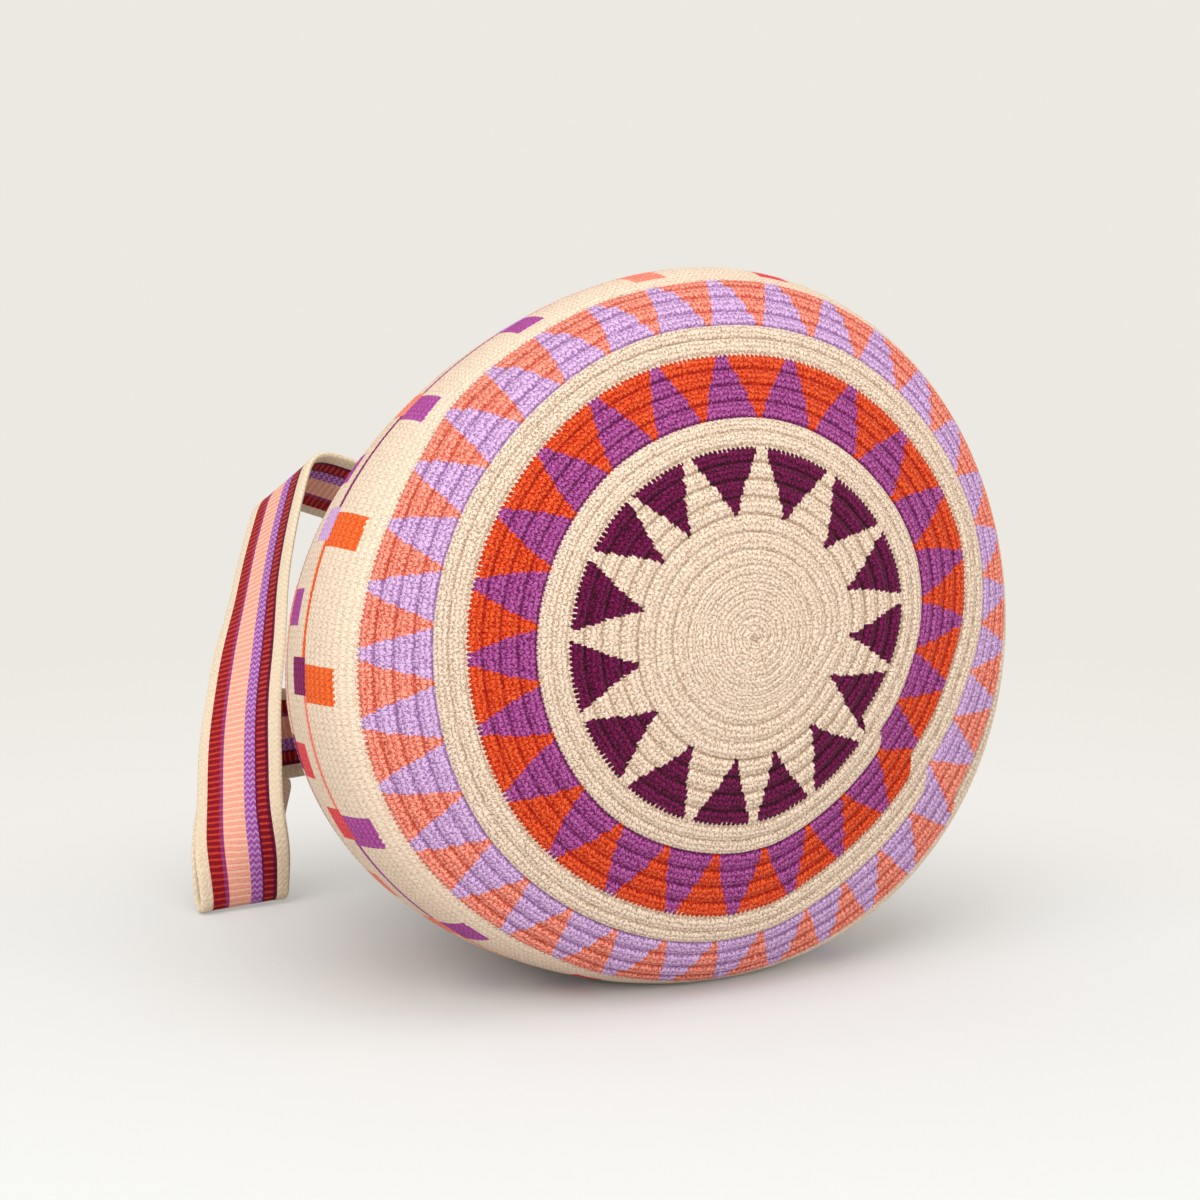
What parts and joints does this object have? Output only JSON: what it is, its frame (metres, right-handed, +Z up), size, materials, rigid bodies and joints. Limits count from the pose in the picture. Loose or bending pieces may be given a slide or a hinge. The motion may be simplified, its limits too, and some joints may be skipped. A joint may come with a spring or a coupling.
{
  "type": "crocheted drawstring shoulder pouch",
  "caption": "Round-bottomed crocheted pouch with an open mouth and a woven shoulder strap, lying on its side.",
  "frame": {"origin": "on the floor, under the middle of the whole bag with its strap", "axes": "+Z up; the round base faces -Y and a little +X, the mouth opens towards +Y and -X"},
  "size_m": [0.3212, 0.3432, 0.2656],
  "materials": {
    "crocheted_cotton": "matte",
    "woven_cotton": "matte",
    "sewing_thread": "matte"
  },
  "bodies": {
    "root": {"crocheted_bag": "crocheted_cotton", "woven_strap": "woven_cotton", "upper_strap_seam": "sewing_thread", "lower_strap_seam": "sewing_thread"}
  },
  "joints": []
}
